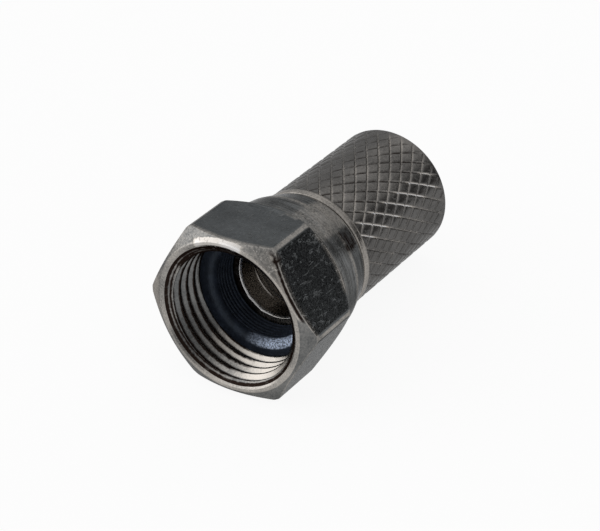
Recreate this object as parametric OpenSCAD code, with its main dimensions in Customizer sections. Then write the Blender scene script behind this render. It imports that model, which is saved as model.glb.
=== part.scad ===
// Twist-on coaxial plug with a threaded coupling nut, lying on one hex flat.
// The axis runs along X: the mouth of the nut faces -X at x = 0, the knurled sleeve points to +X.

/* [Coupling nut] */
// Width of the hexagon across two flats
hex_af = 11; // [10.6:0.1:12]
// Diameter of the turned bar, which rounds off the six corners
corner_d = 12.46; // [12.4:0.02:12.7]
// Distance from the mouth to where the rear chamfer reaches the corners
hex_len = 4.5; // [4.4:0.05:5.5]
// Diameter of the narrow ring round the mouth, at whose foot the front chamfer starts
front_ring_d = 10.56; // [10.4:0.02:10.6]
// How far that ring stands out
ring_rise = 0.05; // [0.02:0.01:0.3]
// Slope of the front chamfer, off the mouth face
front_chamfer_deg = 32; // [20:1:36]
// Slope of the rear chamfer, off the mouth face
rear_chamfer_deg = 45; // [35:1:48]
// Length of the whole nut with its tapered collar
nut_len = 9.2; // [8.8:0.1:10]
// Diameter of the collar where the rear chamfer runs into it
collar_root_d = 10.64; // [10.4:0.02:10.8]
// Diameter of the collar at the edge where its steeper taper begins
collar_shoulder_d = 10.06; // [9.8:0.02:10.3]
// Length of that taper
collar_taper_len = 1.75; // [1.4:0.05:2.4]
// Diameter of the collar at its rear end
collar_end_d = 8.96; // [8.7:0.02:9.4]
// Rounding of the edge between the two tapers
collar_blend = 0.1; // [0.05:0.01:0.4]

/* [Port thread] */
// Diameter over the crests of the internal thread
thread_crest_d = 8.76; // [8.6:0.02:8.9]
// Diameter of the countersink at the mouth
mouth_d = 10.12; // [10:0.02:10.3]
// Length of the countersink
mouth_len = 0.48; // [0.3:0.02:0.5]
// Depth at which the thread ends and the seal groove begins
thread_end = 3.35; // [3:0.05:3.6]

/* [Seal ring] */
// Diameter of the groove that holds the seal
seal_groove_d = 9.6; // [9.3:0.05:9.8]
// Bore of the seal at its front edge
seal_front_bore_d = 6.94; // [6.8:0.02:7.2]
// Bore of the seal at its rear edge
seal_rear_bore_d = 6.26; // [6:0.02:6.6]
// Rounding of the front edge of the seal
seal_round = 0.5; // [0.3:0.02:0.6]
// Depth at which the seal ends
seal_end = 5.3; // [5:0.05:5.5]

/* [Body] */
// Diameter of the flared front lip that keeps the nut on the body
lip_d = 8.4; // [8.2:0.05:8.6]
// Thickness of the lip
lip_len = 1.05; // [0.8:0.05:1.2]
// Diameter of the neck that the nut turns on
neck_d = 7.8; // [7.4:0.05:7.9]
// Bore that takes the bared insulation of the cable
core_bore_d = 5.2; // [5:0.05:5.5]
// Length of that bore
core_bore_len = 1.5; // [1:0.1:2.2]
// Width of the countersink at its front rim
core_rim = 0.09; // [0.05:0.01:0.15]

/* [Knurled sleeve] */
// Diameter over the pads of the knurl
knurl_d = 8.9; // [8.6:0.05:9.2]
// Overall length from the mouth of the nut to the end of the sleeve
overall_len = 20.1; // [18.5:0.1:22]
// Diameter of the smooth shoulder in front of the knurl
shoulder_d = 8.96; // [8.92:0.02:9.3]
// Length of the smooth shoulder
shoulder_len = 0.55; // [0.45:0.05:0.9]
// Edge chamfer of the shoulder and of the sleeve's rear end
edge_chamfer = 0.1; // [0.06:0.01:0.2]
// Bore that screws onto the jacket of the cable
jacket_bore_d = 6.2; // [6:0.05:6.5]
// Length of the countersink at the rear entry of that bore
entry_len = 0.5; // [0.3:0.05:0.8]
// Diameter of that countersink
entry_d = 7; // [6.8:0.05:7.3]

/* [Knurl] */
// Grooves of each hand around the sleeve
knurl_starts = 29; // [20:1:34]
// Distance along the sleeve between grooves of one hand
knurl_pitch = 1.56; // [1.3:0.02:2.2]
// Turn from one row of crossings to the next, as a share of the step between starts
knurl_lean = 0.48; // [0.42:0.01:0.58]
// Width of a groove at the surface
groove_w = 0.23; // [0.15:0.01:0.28]
// Depth of a groove
groove_depth = 0.12; // [0.08:0.01:0.18]

/* [Fits] */
// Radial clearance between the neck and the nut
neck_clearance = 0.05; // [0.03:0.01:0.08]
// End play in front of and behind the nut's inner flange
end_play = 0.1; // [0.05:0.01:0.15]
// Radial gap between the lip and the nut
lip_gap = 0.2; // [0.12:0.02:0.3]
// Gap round the seal in its groove
seal_gap = 0.02; // [0.01:0.01:0.04]

/* [Hidden] */
// Extra length by which a cut runs past the face it opens
cut = 1;
// Round features
round_fn = 96;
// Points of a rounded outline
blend_steps = 6;
// Rows and rings of the knurl share one angle step
start_deg = 360 / knurl_starts;
// Corners of a pad, and points of the rear rim for each start
pad_corners = 4;
rim_points = 3;

nickel = [0.36, 0.36, 0.37];
dark_nickel = [0.28, 0.28, 0.29];
rubber = [0.10, 0.11, 0.16];

collar_x = nut_len - collar_taper_len;
// The lip starts behind the seal, and the nut's inner flange behind the lip
lip_x = seal_end + end_play;
lip_back = lip_x + lip_len;
flange_x = lip_back + end_play;
lip_bore_d = lip_d + 2 * lip_gap;
neck_bore_d = neck_d + 2 * neck_clearance;
shoulder_x = nut_len + end_play;
knurl_x = shoulder_x + shoulder_len;
knurl_end = overall_len - edge_chamfer;
step_x = lip_x + core_bore_len;
// The cone between the two bores has sides at 45 degrees
step_len = (jacket_bore_d - core_bore_d) / 2;

// Turned solids are drawn as length against radius and revolved about X
module turned() {
    rotate([0, 90, 0])
        rotate_extrude($fn = round_fn)
            mirror([1, 0])
                rotate(90)
                    children();
}

module bore(x, length, d1, d2) {
    translate([x, 0, 0])
        rotate([0, 90, 0])
            cylinder(h = length, d1 = d1, d2 = d2, $fn = round_fn);
}

// A point on the curve that leaves a for the corner b and arrives at c
function bend(a, b, c, t) = (1 - t) * (1 - t) * a + 2 * t * (1 - t) * b + t * t * c;

function bent(a, b, c) = [for (i = [0 : blend_steps]) bend(a, b, c, i / blend_steps)];

// The outline of the nut from its mouth face to its rear face
function nut_outline() =
    let (
        ring_r = front_ring_d / 2,
        corner_r = corner_d / 2,
        root_r = collar_root_d / 2,
        shoulder_r = collar_shoulder_d / 2,
        end_r = collar_end_d / 2,
        front_x = ring_rise + (corner_r - ring_r) * tan(front_chamfer_deg),
        root_x = hex_len + (corner_r - root_r) * tan(rear_chamfer_deg),
        straight = [collar_x - root_x, shoulder_r - root_r],
        taper = [collar_taper_len, end_r - shoulder_r],
        knee = [collar_x, shoulder_r]
    )
    concat(
        [[0, 0], [0, ring_r], [ring_rise, ring_r]],
        [[front_x, corner_r], [hex_len, corner_r], [root_x, root_r]],
        bent(knee - straight * collar_blend / norm(straight), knee, knee + taper * collar_blend / norm(taper)),
        [[nut_len, end_r], [nut_len, 0]]
    );

module hex_bar() {
    // Two flats lie level, so that the nut rests on one of them
    rotate([0, 90, 0])
        rotate(30 + 60)
            cylinder(h = nut_len, d = hex_af / cos(30), $fn = 6);
}

module coupling_nut() {
    color(dark_nickel)
        difference() {
            intersection() {
                hex_bar();
                turned() polygon(nut_outline());
            }
            bore(-cut, thread_end + 2 * cut, thread_crest_d, thread_crest_d);
            bore(0, mouth_len, mouth_d, thread_crest_d);
            bore(thread_end, seal_end - thread_end, seal_groove_d, seal_groove_d);
            bore(thread_end + cut, flange_x - thread_end - cut, lip_bore_d, lip_bore_d);
            bore(thread_end + cut, nut_len - thread_end, neck_bore_d, neck_bore_d);
        }
}

module seal_ring() {
    front = thread_end + seal_gap;
    outer_r = seal_groove_d / 2 - seal_gap;
    bore_r = seal_front_bore_d / 2;
    color(rubber)
        turned()
            polygon(concat(
                [[seal_end - seal_gap, seal_rear_bore_d / 2], [seal_end - seal_gap, outer_r], [front, outer_r]],
                bent([front, bore_r + seal_round], [front, bore_r], [front + seal_round, bore_r])
            ));
}

module body() {
    color(nickel)
        difference() {
            union() {
                bore(lip_x, lip_len, lip_d, lip_d);
                bore(lip_x + lip_len / 2, shoulder_x - lip_x, neck_d, neck_d);
                shoulder();
                knurl();
            }
            bore(lip_x - cut, overall_len, core_bore_d, core_bore_d);
            bore(lip_x, core_rim, core_bore_d + 2 * core_rim, core_bore_d);
            bore(step_x, step_len, core_bore_d, jacket_bore_d);
            bore(step_x + step_len, overall_len, jacket_bore_d, jacket_bore_d);
            bore(overall_len - entry_len, entry_len, jacket_bore_d, entry_d);
        }
}

module shoulder() {
    bore(shoulder_x, edge_chamfer, shoulder_d - 2 * edge_chamfer, shoulder_d);
    bore(shoulder_x + edge_chamfer, shoulder_len - edge_chamfer, shoulder_d, shoulder_d);
}

// Points of the knurl lie on rings half a pitch apart. On each ring the grooves cross at one
// point per start, and each ring is turned on from the one before by about half a step.
knurl_rows = round(2 * (knurl_end - knurl_x) / knurl_pitch);
row_h = (knurl_end - knurl_x) / knurl_rows;
half_step = start_deg / 2 * PI / 180 * knurl_d / 2;
// Share of the way from a crossing to the middle of a pad that the groove wall takes
inset = groove_w / 2 * norm([half_step, row_h]) / (half_step * row_h);

function at(x, deg, r) = [x, r * cos(deg), r * sin(deg)];
function cross_deg(row, i) = (i + row * knurl_lean) * start_deg;

// The grooves run out at the last ring, so that the rear rim is round
function crossings(row) = [
    for (i = [0 : knurl_starts - 1])
        at(knurl_x + row * row_h, cross_deg(row, i), knurl_d / 2 - (row < knurl_rows ? groove_depth : 0))
];

// The four corners of a pad: left, front, right and rear
function pad(row, i) =
    let (
        x = knurl_x + row * row_h,
        mid = cross_deg(row, i) + start_deg / 2,
        reach = 1 - inset,
        skew = (0.5 - knurl_lean) * start_deg * reach,
        r = knurl_d / 2,
        front = row == 0 ? x : x - row_h * reach,
        rear = row == knurl_rows ? x : x + row_h * reach
    )
    [
        at(x, mid - start_deg / 2 * reach, r),
        at(front, mid + skew, r),
        at(x, mid + start_deg / 2 * reach, r),
        at(rear, mid - skew, r)
    ];

// The last ring is drawn in by the edge chamfer
function rim() = [
    for (i = [0 : knurl_starts - 1])
        for (p = [crossings(knurl_rows)[i], pad(knurl_rows, i)[0], pad(knurl_rows, i)[2]])
            let (r = norm([p.y, p.z]), k = (r - edge_chamfer) / r)
                [overall_len, p.y * k, p.z * k]
];

module knurl() {
    n = knurl_starts;
    rows = knurl_rows;
    pads_at = (rows + 1) * n;
    rim_at = pads_at + (rows + 1) * n * pad_corners;
    // Indices of a crossing, of the corner c of a pad, and of a point of the rim
    function x_of(row, i) = row * n + (i + n) % n;
    function p_of(row, i, c) = pads_at + (row * n + (i + n) % n) * pad_corners + c;
    function r_of(i, c) = rim_at + ((i + n) % n) * rim_points + c;
    hub = rim_at + n * rim_points;
    points = concat(
        [for (row = [0 : rows]) each crossings(row)],
        [for (row = [0 : rows]) for (i = [0 : n - 1]) each pad(row, i)],
        rim(),
        [[knurl_x, 0, 0], [overall_len, 0, 0]]
    );
    fronts = [
        for (row = [1 : rows]) for (i = [0 : n - 1])
            let (f = x_of(row - 1, i + 1))
                each [
                    [x_of(row, i), p_of(row, i, 0), p_of(row, i, 1)],
                    [x_of(row, i), p_of(row, i, 1), f],
                    [f, p_of(row, i, 1), p_of(row, i, 2)],
                    [f, p_of(row, i, 2), x_of(row, i + 1)],
                    [p_of(row, i, 0), p_of(row, i, 2), p_of(row, i, 1)]
                ]
    ];
    rears = [
        for (row = [0 : rows - 1]) for (i = [0 : n - 1])
            let (b = x_of(row + 1, i))
                each [
                    [x_of(row, i), p_of(row, i, 3), p_of(row, i, 0)],
                    [x_of(row, i), b, p_of(row, i, 3)],
                    [b, p_of(row, i, 2), p_of(row, i, 3)],
                    [b, x_of(row, i + 1), p_of(row, i, 2)],
                    [p_of(row, i, 0), p_of(row, i, 3), p_of(row, i, 2)]
                ]
    ];
    edge = [
        for (i = [0 : n - 1])
            each [
                [x_of(rows, i), r_of(i, 0), r_of(i, 1)],
                [x_of(rows, i), r_of(i, 1), p_of(rows, i, 0)],
                [p_of(rows, i, 0), r_of(i, 1), r_of(i, 2)],
                [p_of(rows, i, 0), r_of(i, 2), p_of(rows, i, 2)],
                [p_of(rows, i, 2), r_of(i, 2), r_of(i + 1, 0)],
                [p_of(rows, i, 2), r_of(i + 1, 0), x_of(rows, i + 1)]
            ]
    ];
    caps = [
        for (i = [0 : n - 1])
            each [
                [hub, x_of(0, i), p_of(0, i, 0)],
                [hub, p_of(0, i, 0), p_of(0, i, 2)],
                [hub, p_of(0, i, 2), x_of(0, i + 1)],
                [hub + 1, r_of(i, 1), r_of(i, 0)],
                [hub + 1, r_of(i, 2), r_of(i, 1)],
                [hub + 1, r_of(i + 1, 0), r_of(i, 2)]
            ]
    ];
    polyhedron(points = points, faces = concat(fronts, rears, edge, caps), convexity = 6);
}

coupling_nut();
seal_ring();
body();
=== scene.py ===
import math

import bpy
import numpy as np
from mathutils import Matrix, Vector

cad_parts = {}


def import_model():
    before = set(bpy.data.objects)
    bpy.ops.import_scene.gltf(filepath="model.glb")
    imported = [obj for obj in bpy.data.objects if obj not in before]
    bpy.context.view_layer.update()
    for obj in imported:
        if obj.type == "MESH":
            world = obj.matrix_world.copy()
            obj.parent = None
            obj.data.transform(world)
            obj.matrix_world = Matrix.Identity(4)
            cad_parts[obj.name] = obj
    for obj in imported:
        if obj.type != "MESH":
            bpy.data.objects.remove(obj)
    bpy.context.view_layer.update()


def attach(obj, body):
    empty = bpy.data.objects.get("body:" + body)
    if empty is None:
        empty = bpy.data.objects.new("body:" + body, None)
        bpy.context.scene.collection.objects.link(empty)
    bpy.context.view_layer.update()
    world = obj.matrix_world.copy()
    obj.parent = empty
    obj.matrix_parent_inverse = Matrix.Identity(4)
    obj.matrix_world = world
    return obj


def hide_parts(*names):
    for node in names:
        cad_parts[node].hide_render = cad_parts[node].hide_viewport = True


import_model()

# Sizes are in millimetres and angles in degrees, along the connector's axis from the mouth of the nut
MM = 0.001

# Coupling nut
HEX_AF = 11.0
CORNER_R = 6.229
HEX_END = 4.5
RING_R = 5.28
RING_RISE = 0.05
FRONT_SLOPE = 32
REAR_SLOPE = 45
NUT_END = 9.2
COLLAR_ROOT_R = 5.32
COLLAR_SHOULDER_R = 5.03
COLLAR_TAPER = 1.75
COLLAR_END_R = 4.48
MOUTH_R = 5.06
MOUTH_LEN = 0.48
# Thread of the nut: 32 turns to the inch
PITCH = 25.4 / 32
CREST_R = 4.38
ROOT_R = 4.74
THREAD_END = 3.35
GROOVE_R = 4.8
LIP_BORE_R = 4.4
NECK_BORE_R = 3.95
FLANGE_X = 6.55
# Seal ring
SEAL_FRONT = 3.37
SEAL_END = 5.28
SEAL_OUTER_R = 4.78
SEAL_FRONT_R = 3.47
SEAL_ROUND = 0.5
SEAL_RING_STEP = 0.24
SEAL_RING_H = 0.05
SEAL_REAR_R = 3.13
# Body
LIP_X = 5.4
LIP_END = 6.45
LIP_R = 4.2
NECK_R = 3.9
CORE_R = 2.6
CORE_END = 6.9
JACKET_R = 3.1
SHOULDER_X = 9.3
SHOULDER_R = 4.48
KNURL_X = 9.85
KNURL_END = 20.0
SLEEVE_END = 20.1
ENTRY_R = 3.5
# Knurl
KNURL_R = 4.45
STARTS = 29
ROWS = 13
LEAN = 0.48
GROOVE_W = 0.23
GROOVE_DEPTH = 0.12
# Coarse thread of the sleeve
JACKET_PITCH = 1.0
JACKET_DEPTH = 0.3
# Bright rim of the core bore, and the burrs on it: angle, height and width in degrees
RIM_W = 0.19
RIM_RISE = 0.02
BURRS = [(-42, 0.05, 4), (-69, 0.07, 6)]
# Where the rough patch beside the rim lies
PATCH = (-119, -69)
# Angle of the scar on the front chamfer
SCAR_ANGLE = 122


# Mesh code

def smooth_min(a, b, blend):
    h = np.maximum(blend - np.abs(a - b), 0) / blend
    return np.minimum(a, b) - h * h * blend / 4


def fillet(points, radii, steps):
    """Rounds the corners of an outline. Each corner gets as many points as steps says, so that outlines of one form match."""
    out = []
    for i, p in enumerate(points):
        if radii[i] == 0 or i in (0, len(points) - 1):
            out.append(p)
            continue
        before, after = points[i - 1], points[i + 1]
        a, b = np.subtract(before, p), np.subtract(after, p)
        la, lb = np.hypot(*a), np.hypot(*b)
        reach = min(radii[i], la * 0.45, lb * 0.45)
        a, b = p + a / la * reach, p + b / lb * reach
        for t in np.linspace(0, 1, steps):
            out.append(tuple((1 - t) ** 2 * a + 2 * t * (1 - t) * np.array(p) + t * t * b))
    return out


def stretch(a, b, count):
    """Points between two ends, without the ends."""
    return [tuple(np.array(a) + (np.array(b) - a) * t) for t in np.linspace(0, 1, count + 2)[1:-1]]


def grid_mesh(name, places, masks, closed_rows=False):
    """A mesh from rows of points that run round the axis. places is rows x columns x 3, in millimetres."""
    rows, cols = places.shape[:2]
    index = np.arange(rows * cols).reshape(rows, cols)
    upper = index if closed_rows else index[:-1]
    lower = np.roll(index, -1, axis=0) if closed_rows else index[1:]
    quads = np.stack([upper, np.roll(upper, -1, axis=1), np.roll(lower, -1, axis=1), lower], -1).reshape(-1, 4)
    return new_piece(name, places.reshape(-1, 3), quads.tolist(), masks)


def new_piece(name, verts, faces, masks):
    """A smooth piece from places in millimetres. masks are numbers for each point that the finish reads."""
    mesh = bpy.data.meshes.new(name)
    mesh.from_pydata((verts * MM).tolist(), [], faces)
    for mask, values in masks.items():
        layer = mesh.attributes.new(mask, "FLOAT", "POINT")
        layer.data.foreach_set("value", np.ascontiguousarray(values, dtype=np.float32).ravel())
    mesh.polygons.foreach_set("use_smooth", [True] * len(mesh.polygons))
    mesh.update()
    piece = bpy.data.objects.new(name, mesh)
    bpy.context.scene.collection.objects.link(piece)
    return piece


def round_axis(x, r, angles):
    """Places at distance x along the axis and radius r, at the given angles from +Y towards +Z."""
    return np.stack([x, r * np.cos(angles), r * np.sin(angles)], -1)


# The nut

def nut_angles():
    """Columns lie close together where the flats meet the corners."""
    half = np.concatenate([np.arange(0, 26.6, 1.4), [27.2, 27.8, 28.2, 28.5, 28.8, 29.1, 29.5]])
    one = np.concatenate([-30 + 0 * half[:1], -half[:0:-1], half])
    return np.radians(np.concatenate([90 + 60 * k + one for k in range(6)]))


def flat_radius(angles):
    from_flat = (np.degrees(angles) - 90 + 30) % 60 - 30
    return smooth_min(HEX_AF / 2 / np.cos(np.radians(from_flat)), CORNER_R, 0.045)


def nut_outside(limit):
    """The outline of the nut at one angle, from the mouth back to the rear face, where the bar is limit thick."""
    front = RING_RISE + (limit - RING_R) * math.tan(math.radians(FRONT_SLOPE))
    rear = HEX_END + (CORNER_R - limit) * math.tan(math.radians(REAR_SLOPE))
    root = HEX_END + (CORNER_R - COLLAR_ROOT_R) * math.tan(math.radians(REAR_SLOPE))
    # Each corner comes with its rounding, its wear and the number of points before it
    corners = [
        ((0.1, countersink(0.1)), 0, 0.8, 0),
        ((0, MOUTH_R), 0.05, 1, 0),
        ((0, RING_R - 0.06), 0.06, 1, 0),
        ((RING_RISE, RING_R + 0.01), 0.06, 0.45, 2),
        ((front, limit), 0.06, 0.5, 6),
        ((rear, limit), 0.06, REAR_WEAR, 14),
        ((root, COLLAR_ROOT_R), 0.3, 0.2, 4),
        ((NUT_END - COLLAR_TAPER, COLLAR_SHOULDER_R), 0.06, 0.45, 6),
        ((NUT_END, COLLAR_END_R), 0.06, 0.6, 8),
        ((NUT_END, NECK_BORE_R), 0, 0, 0),
    ]
    steps = 5
    bent = fillet([c[0] for c in corners], [c[1] for c in corners], steps)
    out, wear_and_sheen, at = [], [], 0
    for (_, rounding, worn, before), flat_wear in zip(corners, FLAT_WEAR):
        count = steps if rounding else 1
        group = bent[at:at + count]
        if before:
            out += stretch(out[-1], group[0], before)
            wear_and_sheen += [flat_wear] * before
        out += group
        wear_and_sheen += [worn] * count
        at += count
    return out, wear_and_sheen


REAR_WEAR = 0.4
# Wear of the plain surface before each corner of the outline
FLAT_WEAR = [0, 1, 1, 0.9, 0.22, 0.02, 0.1, 0.1, 0.08, 0]


def countersink(x):
    return MOUTH_R - x * (MOUTH_R - CREST_R) / MOUTH_LEN


def thread_turn(x, angles):
    """Place on the right-handed thread, from 0 in one root over the crest at 0.5 to 1 in the next root."""
    return (x / PITCH - angles / (2 * math.pi) + 0.07) % 1


def thread_radius(turn):
    """The wall of the thread, with flat crests and narrower flat roots."""
    wave = np.abs(turn - 0.5) * 2
    lift = np.clip((wave - 0.16) / 0.7, 0, 1)
    return CREST_R + (ROOT_R - CREST_R) * lift


def bump(value, low, high, soft):
    """1 between low and high, falling to 0 within soft outside them."""
    return np.clip(1 - np.maximum(low - value, value - high) / soft, 0, 1)


def build_nut():
    angles = nut_angles()
    limits = flat_radius(angles)
    columns = [nut_outside(v) for v in limits]
    outside = np.array([c[0] for c in columns]).transpose(1, 0, 2)
    wear_rows = np.array(columns[0][1])
    # From the rear face inwards along the bores to the end of the thread
    bores = [
        (NUT_END, NECK_BORE_R), (FLANGE_X, NECK_BORE_R), (FLANGE_X, LIP_BORE_R), (SEAL_END, LIP_BORE_R),
        (SEAL_END, GROOVE_R), (THREAD_END, GROOVE_R), (THREAD_END, CREST_R + 0.02),
    ]
    inside = []
    for a, b in zip(bores[1:], bores[2:]):
        inside += [a] + stretch(a, b, 2)
    inside.append(bores[-1])
    inside = np.repeat(np.array(inside)[:, None, :], len(angles), 1)
    # The thread, from its last turn out to the countersink
    xs = np.arange(THREAD_END - 0.03, 0.11, -0.03)
    xx, aa = np.meshgrid(xs, angles, indexing="ij")
    turn = thread_turn(xx, aa)
    thread = np.stack([xx, np.maximum(thread_radius(turn), countersink(xx))], -1)
    flat = np.concatenate([outside, inside, thread])
    places = round_axis(flat[..., 0], flat[..., 1], np.broadcast_to(angles, flat.shape[:2]))
    wear_and_sheen, dirt_and_shade = np.zeros(flat.shape[:2]), np.zeros(flat.shape[:2])
    wear_and_sheen[:len(wear_rows)] = wear_rows[:, None]
    on_bar = (flat[..., 0] > 0.3) & (flat[..., 0] < HEX_END + 0.4) & (flat[..., 1] > HEX_AF / 2 - 0.05)
    degrees = np.degrees(angles) % 360
    from_corner = np.abs((degrees + 30) % 60 - 30)
    wear_and_sheen = np.where(on_bar, np.maximum(wear_and_sheen, 0.5 * bump(from_corner, 0, 1, 0.7)[None, :]), wear_and_sheen)
    n = len(outside) + len(inside)
    # Painted reflection on the flanks, brightest low down in the nut, and painted shade in the roots
    from_low = (np.degrees(aa) + 105 + 180) % 360 - 180
    white = bump(from_low, -45, 8, 12) + bump(from_low, 8, 46, 12) * bump(xx, 2.1, 4, 0.3)
    wear_and_sheen[n:] = bump(turn, 0.16, 0.82, 0.05) * (0.14 + 0.26 * np.exp(-(from_low / 50) ** 2) + 0.56 * np.clip(white, 0, 1))
    left = bump(from_low, 30, 150, 25)
    # Thin lines of painted shade near the crests on the left side
    fine = bump(np.abs(turn - 0.4), 0, 0.03, 0.04) * left
    dirt_and_shade[n:] = np.maximum(1 - bump(turn, 0.12 + 0.02 * left, 0.85 - 0.02 * left, 0.035), fine)
    # A dark brown ring just inside the lip; the rest of the cone is darker on its upper side, with two brighter lines
    # across it
    on_cone = countersink(xx) > thread_radius(turn)
    brown = bump(xx, 0.09, 0.22, 0.04) + bump(xx, 0.31, 0.36, 0.03) * left
    upper = bump(np.degrees(aa) % 360, 40, 190, 15)
    bared = np.maximum(bump(np.abs(xx - 0.245), 0, 0.01, 0.03), bump(np.abs(xx - 0.355), 0, 0.01, 0.03))
    dirt_and_shade[n:] = np.where(on_cone, np.maximum(brown, upper * (xx > 0.12) * (1.4 - 1.1 * bared)), dirt_and_shade[n:])
    wear_and_sheen[n:] = np.where(on_cone, 0.3 + 0.3 * bared * upper, wear_and_sheen[n:])
    # The bores inside the nut are painted in full shade
    dirt_and_shade[len(outside):n] = 1
    # The lip is bright, with a painted highlight at its top, and the chamfer carries a painted warm reflection,
    # strongest towards the upper right
    on_lip = (outside[..., 0] < 0.12) & (outside[..., 1] < RING_R + 0.03)
    on_front = (outside[..., 0] < 1) & ~on_lip & (outside[..., 1] < limits[None, :] - 0.05)
    lip_highlight = bump(degrees, 64, 102, 1.5)
    lip = 0.54 + 0.66 * lip_highlight + 0.16 * bump(degrees, 106, 300, 20)
    chamfer_sheen = 0.17 + 0.26 * bump(degrees, 96, 150, 12) + 0.12 * bump(degrees, 40, 75, 12)
    chamfer_sheen = chamfer_sheen + 0.62 * bump((degrees + 90) % 360, 80, 100, 14)
    chamfer_sheen = np.where(outside[..., 1] < 5.5, np.maximum(chamfer_sheen, 1.14 * lip_highlight)[None, :], chamfer_sheen[None, :])
    wear_and_sheen[:len(outside)] = np.where(on_lip, lip[None, :], np.where(on_front, chamfer_sheen, wear_and_sheen[:len(outside)]))
    # The rear edge of the bar carries a painted highlight only along the side flat
    on_rear = np.isclose(wear_rows, REAR_WEAR)[:, None] & (from_corner > 2)[None, :]
    rear_edge_highlight = 0.05 + 0.75 * bump(degrees, 138, 165, 5)
    wear_and_sheen[:len(outside)] = np.where(on_rear, rear_edge_highlight[None, :], wear_and_sheen[:len(outside)])
    # A scar on one corner of the front chamfer, where the plate is gone and the brass has darkened
    turned = (np.degrees(angles) - SCAR_ANGLE + 180) % 360 - 180
    along = bump(turned, 0, 42, 4)
    before_edge = limits[None, :] - outside[..., 1]
    line = bump(before_edge, 0.07, 0.17, 0.04) * (outside[..., 0] < 1) * along[None, :]
    beside = bump(before_edge, 0.24, 0.3, 0.05) * (outside[..., 0] < 1) * along[None, :]
    wear_and_sheen[:len(outside)] = np.maximum(wear_and_sheen[:len(outside)], beside)
    ear = bump(turned, 2, 4, 1)[None, :] * bump(outside[..., 1], 5.8, 6.1, 0.08) * (outside[..., 0] < 1)
    dirt_and_shade[:len(outside)] = np.maximum(line, ear * 0.8)
    # The collar carries a painted warm reflection on its upper side and a painted dark reflection near its end
    on_collar = (outside[..., 0] > HEX_END + 0.2) & (outside[..., 1] > COLLAR_END_R - 0.01)
    from_warm = (np.degrees(angles) - 120 + 180) % 360 - 180
    warm_reflection = bump(from_warm, -14, 12, 5)[None, :] * 0.42
    patch = bump(from_warm, 18, 30, 5)[None, :] * bump(outside[..., 0], NUT_END - 1.7, NUT_END - 0.4, 0.4)
    wear_and_sheen[:len(outside)] = np.where(on_collar, np.maximum(wear_and_sheen[:len(outside)], warm_reflection), wear_and_sheen[:len(outside)])
    dirt_and_shade[:len(outside)] = np.where(on_collar, patch * 0.6, dirt_and_shade[:len(outside)])
    turned_part, marked = np.zeros((2, *flat.shape[:2]))
    turned_part[:len(outside)] = on_collar
    marked[1:len(outside)] = 1
    return grid_mesh("coupling_nut_dressed", places, {"wear_and_sheen": wear_and_sheen, "dirt_and_shade": dirt_and_shade, "turned": turned_part, "marked": marked}, closed_rows=True)


# The seal

def build_seal():
    angles = np.linspace(0, 2 * math.pi, 240, endpoint=False)
    corners = [
        (SEAL_END, SEAL_REAR_R), (SEAL_END, SEAL_OUTER_R), (SEAL_FRONT, SEAL_OUTER_R),
        (SEAL_FRONT, SEAL_FRONT_R), (SEAL_END, SEAL_REAR_R),
    ]
    outline = fillet(corners, [0, 0.1, 0.12, SEAL_ROUND, 0], 9)[:-1]
    # The bore of the seal has fine moulded rings
    front = outline[-1]
    for t in np.linspace(0, 1, 60)[1:-1]:
        x = front[0] + (SEAL_END - front[0]) * t
        r = front[1] + (SEAL_REAR_R - front[1]) * t ** 1.6
        outline.append((x, r + SEAL_RING_H * math.sin(math.pi * (x - SEAL_FRONT) / SEAL_RING_STEP) ** 6))
    flat = np.repeat(np.array(outline)[:, None, :], len(angles), 1)
    places = round_axis(flat[..., 0], flat[..., 1], np.broadcast_to(angles, flat.shape[:2]))
    # A painted highlight, pale and speckled, lies on the front edge along its lower right
    from_low = (np.degrees(angles) + 125 + 180) % 360 - 180
    edge = bump(flat[..., 0], SEAL_FRONT + 0.02, SEAL_FRONT + 0.45, 0.2) * (flat[..., 1] < SEAL_FRONT_R + 0.42)
    seal_highlight = edge * bump(from_low, -34, 22, 30)[None, :]
    return grid_mesh("seal_ring_dressed", places, {"seal_highlight": seal_highlight}, closed_rows=True)


# The body with its knurled sleeve

HALF_STEP = math.pi / STARTS * KNURL_R
ROW_H = (KNURL_END - KNURL_X) / ROWS
# Share of the way from one groove to the next that half a groove takes
GROOVE_SHARE = GROOVE_W / 4 * math.hypot(HALF_STEP, ROW_H) / (HALF_STEP * ROW_H)
PAD_HALF = np.array([0, 0.3 * GROOVE_SHARE, 0.75 * GROOVE_SHARE, GROOVE_SHARE, 1.3 * GROOVE_SHARE, 0.5])
PAD_STEPS = np.concatenate([PAD_HALF, 1 - PAD_HALF[-2:0:-1]])
PER_PAD = len(PAD_STEPS)
COLUMNS = STARTS * PER_PAD


def line_place(k):
    """Place of the k-th line of the lattice, counted in grooves."""
    return k // PER_PAD + PAD_STEPS[k % PER_PAD]


def groove(place):
    """How deep a groove is at a place between two grooves, from 0 on the pad to 1 in its middle."""
    share = place % 1
    near = np.minimum(share, 1 - share) / GROOVE_SHARE
    near = np.sqrt(near * near + 0.03)
    rise = 1 - near
    return np.maximum(rise, 0) + np.maximum(0.25 - np.abs(rise), 0) ** 2


def knurl_lattice():
    """Rows of points that run along the sleeve, where the lines of both hands of grooves cross."""
    a, c = np.meshgrid(np.arange(ROWS * PER_PAD + 1), np.arange(COLUMNS), indexing="ij")
    u, v = line_place(c + a), line_place(c)
    x = KNURL_X + (u - v) * ROW_H
    angle = (LEAN * u + (1 - LEAN) * v) * 2 * math.pi / STARTS
    # The grooves run out at the last ring, so that the rear rim is round
    run_out = np.clip((KNURL_END - x) / ROW_H, 0, 1)
    rising, falling = (np.clip(groove(line), 0, 1) * run_out for line in (u, v))
    return x, angle, KNURL_R - GROOVE_DEPTH * np.maximum(rising, falling), rising, falling


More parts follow.
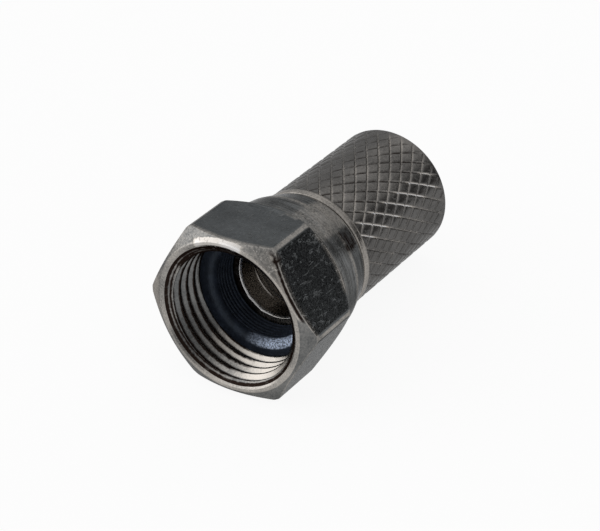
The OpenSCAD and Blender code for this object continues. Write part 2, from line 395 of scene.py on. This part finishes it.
def lattice_faces(rows, columns):
    index = np.arange(rows * columns).reshape(rows, columns)
    along = np.roll(index, -1, axis=1)
    quads = np.stack([index[1:-1], index[2:], along[1:-1], along[:-2]], -1).reshape(-1, 4)
    first = np.stack([index[0], index[1], along[0]], -1)
    last = np.stack([index[-1], along[-1], along[-2]], -1)
    return quads.tolist() + first.tolist() + last.tolist()


def jacket_thread(x, angles):
    phase = (x / JACKET_PITCH - angles / (2 * math.pi)) % 1
    wave = np.abs(phase - 0.5) * 2
    return JACKET_R + JACKET_DEPTH * np.clip((wave - 0.3) / 0.7, 0, 1)


def body_outline():
    """From the front end of the knurl round the lip and the bore to the start of the coarse thread."""
    # Each corner comes with its rounding, its wear, its darkening and the number of points before it
    corners = [
        ((KNURL_X - 0.01, SHOULDER_R), 0, 0.55, 0, 0),
        ((SHOULDER_X, SHOULDER_R), 0.14, 0.5, 0, 2),
        # The faces hidden inside the nut are painted in full shade, and the lip's front face is darkened too
        ((SHOULDER_X, NECK_R), 0.05, 0, 1, 0),
        ((LIP_END, NECK_R), 0.05, 0, 1, 0),
        ((LIP_END, LIP_R), 0.08, 0, 1, 0),
        ((LIP_X, LIP_R), 0.1, 0, 1, 0),
        ((LIP_X, CORE_R + RIM_W), 0.02, 0.3, 0.6, 9),
        ((LIP_X - RIM_RISE, CORE_R + RIM_W * 0.6), 0.03, 1.4, 0, 0),
        ((LIP_X + RIM_W * 0.6, CORE_R), 0.03, 1.2, 0, 0),
        ((CORE_END, CORE_R), 0.04, 0.8, 0, 6),
        ((CORE_END + JACKET_R - CORE_R, JACKET_R), 0, 0.8, 0, 2),
    ]
    steps = 4
    bent = fillet([c[0] for c in corners], [c[1] for c in corners], steps)
    out, wear_and_sheen, dirt_and_shade, at = [], [], [], 0
    for _, rounding, worn, dirty_and_shaded, before in corners:
        count = steps if rounding else 1
        group = bent[at:at + count]
        if before:
            out += stretch(out[-1], group[0], before)
            wear_and_sheen += [worn if dirty_and_shaded == 0 else 0] * before
            dirt_and_shade += [dirty_and_shaded] * before
        out += group
        wear_and_sheen += [worn] * count
        dirt_and_shade += [dirty_and_shaded] * count
        at += count
    return np.array(out), np.array(wear_and_sheen), np.array(dirt_and_shade)


def wide(rows):
    """Repeats values that belong to rows over all columns."""
    rows = np.asarray(rows, float)
    return np.repeat(rows[:, None], COLUMNS, 1)


def build_body():
    x, angle, r, rising, falling = knurl_lattice()
    front_angles = angle[0]
    # The rows of grooves turn on along the sleeve, by whole steps and this share of one
    whole, share = divmod(LEAN * ROWS, 1)
    turn = share * 2 * math.pi / STARTS
    outline, wear_and_sheen, dirt_and_shade = body_outline()
    outline, wear_and_sheen, dirt_and_shade = wide(outline), wide(wear_and_sheen), wide(dirt_and_shade)
    from_angle = np.degrees(front_angles)
    near = (outline[..., 0] < LIP_X + RIM_W) & (outline[..., 1] < CORE_R + RIM_W)
    burr = sum(h * np.exp(-((from_angle - a + 180) % 360 - 180) ** 2 / w ** 2) for a, h, w in BURRS)
    outline[..., 0] -= np.where(near, burr[None, :], 0)
    patch = bump((from_angle - PATCH[0]) % 360, 0, PATCH[1] - PATCH[0], 8)[None, :]
    face = (np.abs(outline[..., 0] - LIP_X) < 0.02) & (outline[..., 1] < 3.3) & (outline[..., 1] > CORE_R + RIM_W)
    mottle = 0.5 + 0.5 * np.sin(from_angle * 1.7 + outline[..., 1] * 8) * np.sin(from_angle * 0.61 - outline[..., 1] * 11)
    wear_and_sheen = np.where(face, patch * mottle * 1.3, wear_and_sheen)
    dirt_and_shade = np.where(face, dirt_and_shade * (1 - patch * mottle), dirt_and_shade)
    # The coarse thread that bites into the cable's jacket
    first = CORE_END + JACKET_R - CORE_R + 0.1
    last = SLEEVE_END - ENTRY_R + JACKET_R
    xx = wide(np.arange(first, last, 0.16))
    thread_angles = front_angles + turn * (xx - first) / (last - first)
    thread = np.stack([xx, jacket_thread(xx, thread_angles)], -1)
    tail = wide(fillet(
        [(last, JACKET_R + 0.1), (SLEEVE_END, ENTRY_R), (SLEEVE_END, KNURL_R - 0.3)],
        [0, 0.08, 0], 4))
    # The rear rim follows the ends of the grooves
    shift = int(whole) * PER_PAD
    rim_r = np.roll(r[-1], shift)
    rim = [np.stack([wide([SLEEVE_END - back])[0], rim_r - down], -1) for back, down in ((0, 0.1), (0.05, 0.03))]
    rest = np.concatenate([outline, thread, tail, rim])
    n_outline, n_thread = len(outline), len(thread)
    angles = np.repeat(front_angles[None, :], len(rest), 0)
    angles[n_outline:n_outline + n_thread] = thread_angles
    angles[n_outline + n_thread:] += turn
    extra = len(rest) - n_outline
    wear_and_sheen = np.concatenate([wear_and_sheen, np.full((extra, COLUMNS), 0.8)])
    dirt_and_shade = np.concatenate([dirt_and_shade, np.zeros((extra, COLUMNS))])
    wear_and_sheen[-4:] = 0.4
    dirt_and_shade[-6:] = 0
    # Painted light on the knurl: the walls of one hand of grooves carry a painted highlight, and those of the other
    # painted shade, but for a stretch along the side with painted glints. The pads carry a painted warm reflection on
    # one side and are darker from 140 to 154 degrees.
    turned = np.degrees(angle) % 360
    glint_stretch = bump(turned, 141, 157, 4)
    pad_reflection = 0.03 + 0.13 * bump(turned, 102, 134, 12)
    lit_groove_walls = np.clip(rising * 1.8 - 0.4, 0, 1) * (0.14 + 0.26 * bump(turned, 96, 138, 12))
    glints = 1.5 * glint_stretch * np.clip(falling * 3 - 1.2, 0, 1) + 0.25 * bump(turned, 157, 186, 4) * falling
    wear_and_sheen = np.concatenate([pad_reflection + lit_groove_walls + glints, wear_and_sheen])
    shaded_groove_walls = 0.55 * (1 - bump(turned, 139, 190, 4)) * np.clip(falling * 2.4 - 0.9, 0, 1)
    pad_darkening = 0.22 * bump(turned, 140, 154, 4) * (1 - np.clip(falling * 3 + rising * 2, 0, 1))
    dirt_and_shade = np.concatenate([(shaded_groove_walls + pad_darkening) * (1 - np.clip(rising * 1.5, 0, 0.8)), dirt_and_shade])
    places = np.concatenate([round_axis(x, r, angle), round_axis(rest[..., 0], rest[..., 1], angles)])
    # The end of the lattice is turned back by the whole steps, so that it meets the rim
    index = np.arange(places.shape[0] * COLUMNS).reshape(-1, COLUMNS)
    chain = np.concatenate([index[:1], index[len(x):], np.roll(index[len(x) - 1:len(x)], shift, axis=1)])
    along = np.roll(chain, -1, axis=1)
    quads = np.stack([chain[:-1], along[:-1], along[1:], chain[1:]], -1).reshape(-1, 4)
    faces = lattice_faces(len(x), COLUMNS) + quads.tolist()
    turned_part = np.zeros(places.shape[:2])
    turned_part[len(x):] = 1
    masks = {"wear_and_sheen": wear_and_sheen, "dirt_and_shade": dirt_and_shade, "turned": turned_part, "marked": 1 - turned_part}
    return new_piece("body_dressed", places.reshape(-1, 3), faces, masks)


# Finishes

class Nodes:
    """Puts shader nodes into a tree and joins them."""

    def __init__(self, tree):
        self.tree = tree

    def add(self, kind, **settings):
        node = self.tree.nodes.new(kind)
        for key, value in settings.items():
            setattr(node, key, value)
        return node

    def put(self, value, socket):
        if hasattr(value, "is_output"):
            self.tree.links.new(value, socket)
        else:
            socket.default_value = value

    def math(self, operation, a, b=0.0, c=0.0, clamp=False):
        node = self.add("ShaderNodeMath", operation=operation, use_clamp=clamp)
        for value, socket in zip((a, b, c), node.inputs):
            self.put(value, socket)
        return node.outputs[0]

    def ramp(self, value, low, high, to_low=0.0, to_high=1.0):
        node = self.add("ShaderNodeMapRange", interpolation_type="SMOOTHSTEP")
        for v, socket in zip((value, low, high, to_low, to_high), node.inputs):
            self.put(v, socket)
        return node.outputs[0]

    def mix(self, share, a, b):
        node = self.add("ShaderNodeMix", data_type="RGBA")
        self.put(share, node.inputs[0])
        self.put(a, node.inputs[6])
        self.put(b, node.inputs[7])
        return node.outputs[2]

    def noise(self, where, scale, detail=3.0, rough=0.55, distortion=0.0):
        node = self.add("ShaderNodeTexNoise")
        self.put(where, node.inputs["Vector"])
        node.inputs["Scale"].default_value = scale
        node.inputs["Detail"].default_value = detail
        node.inputs["Roughness"].default_value = rough
        node.inputs["Distortion"].default_value = distortion
        return node.outputs["Fac"]

    def stretched(self, where, scale):
        node = self.add("ShaderNodeMapping")
        self.put(where, node.inputs["Vector"])
        node.inputs["Scale"].default_value = scale
        return node.outputs[0]

    def read(self, name):
        return self.add("ShaderNodeAttribute", attribute_name=name).outputs["Fac"]


def new_group(name, inputs, outputs):
    group = bpy.data.node_groups.new(name, "ShaderNodeTree")
    for label, kind, value in inputs:
        socket = group.interface.new_socket(name=label, in_out="INPUT", socket_type=kind)
        if value is not None:
            socket.default_value = value
    for label, kind in outputs:
        group.interface.new_socket(name=label, in_out="OUTPUT", socket_type=kind)
    nodes = Nodes(group)
    return group, nodes, nodes.add("NodeGroupInput").outputs, nodes.add("NodeGroupOutput").inputs


def plating_group():
    """Dark nickel plate that turns to the rubbed colour where the wear mask is high, from real wear and from painted
    highlights and reflections, with nicks and fine scratches.
    """
    group, n, given, out = new_group(
        "plating",
        [
            ("Plate", "NodeSocketColor", (0.1, 0.1, 0.1, 1)),
            ("Rubbed_and_sheen", "NodeSocketColor", (0.4, 0.36, 0.32, 1)),
            ("Wear_and_sheen", "NodeSocketFloat", 0.0),
            ("Dirt_and_shade", "NodeSocketFloat", 0.0),
            ("Turned", "NodeSocketFloat", 0.0),
            ("Nicks", "NodeSocketFloat", 0.5),
            ("Marked", "NodeSocketFloat", 1.0),
            ("Roughness", "NodeSocketFloat", 0.25),
        ],
        [("Colour", "NodeSocketColor"), ("Roughness", "NodeSocketFloat"), ("Height", "NodeSocketFloat")],
    )
    where = n.add("ShaderNodeTexCoord").outputs["Object"]
    cloud = n.noise(where, 420, 4)
    grain = n.noise(where, 7000, 4, 0.7)
    fleck = n.noise(n.stretched(where, (1400, 2600, 2600)), 1, 3, 0.6, 0.6)
    dents = n.ramp(fleck, 0.61, 0.67)
    line = n.noise(n.stretched(where, (700, 6000, 4200)), 1, 2, 0.6, 0.5)
    scratch = n.ramp(line, 0.66, 0.71)
    rings = n.noise(n.stretched(where, (9000, 350, 350)), 1, 3, 0.7)
    ragged = n.math("ADD", n.ramp(grain, 0.3, 0.7, -0.2, 0.2), n.ramp(cloud, 0.3, 0.7, -0.18, 0.18))
    rubbed_and_sheen = n.math("ADD", given["Wear_and_sheen"], n.math("MULTIPLY", ragged, n.ramp(given["Wear_and_sheen"], 0.0, 0.4)), clamp=True)
    marks = n.math("MULTIPLY", n.math("MAXIMUM", dents, scratch), n.math("MULTIPLY", given["Nicks"], given["Marked"]))
    rubbed_and_sheen = n.math("MAXIMUM", rubbed_and_sheen, n.math("MULTIPLY", marks, 0.1))
    plate = n.add("ShaderNodeVectorMath", operation="SCALE")
    n.put(given["Plate"], plate.inputs[0])
    tone = n.math("MULTIPLY", n.ramp(cloud, 0.25, 0.75, 0.84, 1.16), n.ramp(grain, 0.3, 0.7, 0.85, 1.15))
    lines = n.math("MULTIPLY_ADD", n.ramp(rings, 0.35, 0.65, -0.45, 0.45), given["Turned"], 1.0)
    n.put(n.math("MULTIPLY", tone, lines), plate.inputs["Scale"])
    metal = n.mix(rubbed_and_sheen, plate.outputs[0], given["Rubbed_and_sheen"])
    # Wear above 1 turns bluish white: a painted highlight on the knurl's glints and the top of the lip, and the bright
    # rim of the core bore
    polish_and_glint = n.math("SUBTRACT", given["Wear_and_sheen"], 1.0, clamp=True)
    metal = n.mix(n.math("MULTIPLY", polish_and_glint, n.ramp(cloud, 0.38, 0.52, 0.35, 1.1)), metal, (0.82, 0.85, 0.9, 1))
    # The dirt mask darkens to dark brown: real dirt and scars, and painted shade in recesses, grooves and thread roots
    streaks = n.math("MULTIPLY_ADD", n.ramp(rings, 0.4, 0.6, -0.8, 0.5), given["Turned"], 1.2)
    uneven = n.math("MULTIPLY", n.ramp(fleck, 0.3, 0.7, 0.28, -0.28), n.math("MULTIPLY", given["Dirt_and_shade"], 4.0, clamp=True))
    stain_and_shade = n.math("MULTIPLY", n.math("ADD", given["Dirt_and_shade"], uneven), streaks, clamp=True)
    n.put(n.mix(stain_and_shade, metal, (0.017, 0.011, 0.009, 1)), out["Colour"])
    rough = n.math("ADD", given["Roughness"], n.ramp(grain, 0.3, 0.7, -0.05, 0.07))
    rough = n.math("ADD", rough, n.math("MULTIPLY", stain_and_shade, 0.25))
    n.put(n.math("ADD", rough, n.math("MULTIPLY", marks, 0.1), clamp=True), out["Roughness"])
    height = n.math("SUBTRACT", n.math("MULTIPLY", grain, n.math("MULTIPLY_ADD", given["Marked"], 0.17, 0.03)), marks)
    n.put(height, out["Height"])
    return group


def plated(name, group, plate, rubbed_and_sheen, nicks, roughness, relief, rim):
    """A plated finish. The masks of the piece say where it is worn and where it carries painted highlights and
    reflections, and where it is dirty and where it carries painted shade.
    """
    material = bpy.data.materials.new(name)
    material.use_nodes = True
    n = Nodes(material.node_tree)
    shader = material.node_tree.nodes["Principled BSDF"]
    effect = n.add("ShaderNodeGroup", node_tree=group)
    effect.inputs["Plate"].default_value = (*plate, 1)
    effect.inputs["Rubbed_and_sheen"].default_value = (*rubbed_and_sheen, 1)
    effect.inputs["Nicks"].default_value = nicks
    effect.inputs["Roughness"].default_value = roughness
    n.put(n.read("wear_and_sheen"), effect.inputs["Wear_and_sheen"])
    n.put(n.read("dirt_and_shade"), effect.inputs["Dirt_and_shade"])
    n.put(n.read("turned"), effect.inputs["Turned"])
    n.put(n.read("marked"), effect.inputs["Marked"])
    n.put(effect.outputs["Colour"], shader.inputs["Base Color"])
    n.put(effect.outputs["Roughness"], shader.inputs["Roughness"])
    shader.inputs["Metallic"].default_value = 1
    shader.inputs["Specular Tint"].default_value = (rim, rim, rim, 1)
    low_relief = n.add("ShaderNodeBump")
    low_relief.inputs["Strength"].default_value = 1
    low_relief.inputs["Distance"].default_value = relief * MM
    n.put(effect.outputs["Height"], low_relief.inputs["Height"])
    n.put(low_relief.outputs[0], shader.inputs["Normal"])
    return material


def rubber():
    material = bpy.data.materials.new("seal_rubber")
    material.use_nodes = True
    n = Nodes(material.node_tree)
    shader = material.node_tree.nodes["Principled BSDF"]
    where = n.add("ShaderNodeTexCoord").outputs["Object"]
    bloom = n.noise(where, 1500, 4, 0.6)
    fine = n.noise(where, 9000, 3, 0.6)
    dark = n.mix(n.ramp(bloom, 0.35, 0.75), (0.011, 0.014, 0.021, 1), (0.02, 0.026, 0.04, 1))
    # The painted highlight turns the rubber pale blue in speckles
    highlight_speckle = n.math("MULTIPLY", n.read("seal_highlight"), n.ramp(fine, 0.42, 0.6, 0.2, 1.0))
    n.put(n.mix(highlight_speckle, dark, (0.68, 0.79, 1.0, 1)), shader.inputs["Base Color"])
    n.put(n.ramp(fine, 0.3, 0.7, 0.36, 0.5), shader.inputs["Roughness"])
    shader.inputs["Specular Tint"].default_value = (0.72, 0.85, 1.0, 1)
    shader.inputs["Specular IOR Level"].default_value = 0.3
    relief = n.add("ShaderNodeBump")
    relief.inputs["Distance"].default_value = 0.03 * MM
    n.put(fine, relief.inputs["Height"])
    n.put(relief.outputs[0], shader.inputs["Normal"])
    return material


# The view and the light

def look(location, right, down, forward, lens):
    camera = bpy.data.objects.new("camera", bpy.data.cameras.new("camera"))
    axes = Matrix([right, [-v for v in down], [-v for v in forward]]).transposed().to_4x4()
    camera.matrix_world = Matrix.Translation(Vector(location) * MM) @ axes
    camera.data.lens = lens
    camera.data.sensor_width = 36
    camera.data.clip_start = 0.001
    bpy.context.scene.collection.objects.link(camera)
    bpy.context.scene.camera = camera


def floor():
    mesh = bpy.data.meshes.new("floor")
    size = 2
    # The connector tips back on the rear edge of its lower flat until the sleeve's rim touches down
    hinge_x = HEX_END + (CORNER_R - HEX_AF / 2) * math.tan(math.radians(REAR_SLOPE))
    slope = (HEX_AF / 2 - KNURL_R) / (KNURL_END - hinge_x)
    corners = []
    for sx, sy in ((-1, -1), (1, -1), (1, 1), (-1, 1)):
        x = sx * size
        corners.append((x, sy * size, -HEX_AF / 2 * MM + (x - hinge_x * MM) * slope))
    mesh.from_pydata(corners, [], [(0, 1, 2, 3)])
    plane = bpy.data.objects.new("floor", mesh)
    bpy.context.scene.collection.objects.link(plane)
    material = bpy.data.materials.new("floor")
    material.use_nodes = True
    n = Nodes(material.node_tree)
    tree = material.node_tree
    tree.nodes.remove(tree.nodes["Principled BSDF"])
    matte = n.add("ShaderNodeBsdfDiffuse")
    matte.inputs["Color"].default_value = (0.8, 0.8, 0.8, 1)
    white = n.add("ShaderNodeEmission")
    path = n.add("ShaderNodeLightPath").outputs
    seen = n.math("ADD", path["Is Camera Ray"], n.math("ADD", path["Is Glossy Ray"], path["Is Transmission Ray"]), clamp=True)
    share = n.math("MULTIPLY", seen, 0.92)
    both = n.add("ShaderNodeMixShader")
    n.put(share, both.inputs[0])
    n.put(matte.outputs[0], both.inputs[1])
    n.put(white.outputs[0], both.inputs[2])
    n.put(both.outputs[0], tree.nodes["Material Output"].inputs["Surface"])
    mesh.materials.append(material)


def world(glows, level):
    """A soft room. glows are (direction, how narrow, strength) and may also darken."""
    room = bpy.data.worlds.new("room")
    bpy.context.scene.world = room
    room.use_nodes = True
    n = Nodes(room.node_tree)
    background = room.node_tree.nodes["Background"]
    where = n.add("ShaderNodeTexCoord").outputs["Generated"]
    total = level
    for direction, narrow, strength in glows:
        dot = n.add("ShaderNodeVectorMath", operation="DOT_PRODUCT")
        n.put(where, dot.inputs[0])
        dot.inputs[1].default_value = Vector(direction).normalized()
        lobe = n.math("POWER", n.math("MULTIPLY_ADD", dot.outputs["Value"], 0.5, 0.5, clamp=True), narrow)
        total = n.math("MULTIPLY_ADD", lobe, strength, total)
    total = n.math("MAXIMUM", total, 0.03)
    seen = n.add("ShaderNodeLightPath").outputs["Is Camera Ray"]
    n.put(n.math("ADD", n.math("MULTIPLY", total, n.math("SUBTRACT", 1.0, seen)), seen), background.inputs["Strength"])
    background.inputs["Color"].default_value = (1, 1, 1, 1)


def direction(azimuth, elevation):
    a, e = math.radians(azimuth), math.radians(elevation)
    return (math.cos(e) * math.cos(a), math.cos(e) * math.sin(a), math.sin(e))


bpy.context.scene.view_settings.view_transform = "Standard"
nut = build_nut()
seal = build_seal()
sleeve = build_body()
plating = plating_group()
nut.data.materials.append(plated("nut_plating", plating, (0.09, 0.096, 0.1), (0.44, 0.41, 0.375), 0.6, 0.22, 0.025, 0.4))
sleeve.data.materials.append(plated("sleeve_plating", plating, (0.1, 0.098, 0.096), (0.42, 0.39, 0.355), 0.5, 0.25, 0.02, 0.56))
seal.data.materials.append(rubber())
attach(nut, "nut")
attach(seal, "nut")
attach(sleeve, "sleeve")
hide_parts("coupling_nut")
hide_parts("seal_ring")
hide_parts("body")

look((-92.74, -65.53, 68.84), (0.53534, -0.84442, -0.01668), (-0.42835, -0.25441, -0.867), (0.72788, 0.47137, -0.49801), 127.48)
floor()
world(
    [
        (direction(122, 14), 9, 1.3),
        (direction(192, 22), 12, -0.5),
        (direction(-46, 7), 14, -0.84),
        (direction(-15, 1), 60, -0.3),
    ],
    0.86,
)
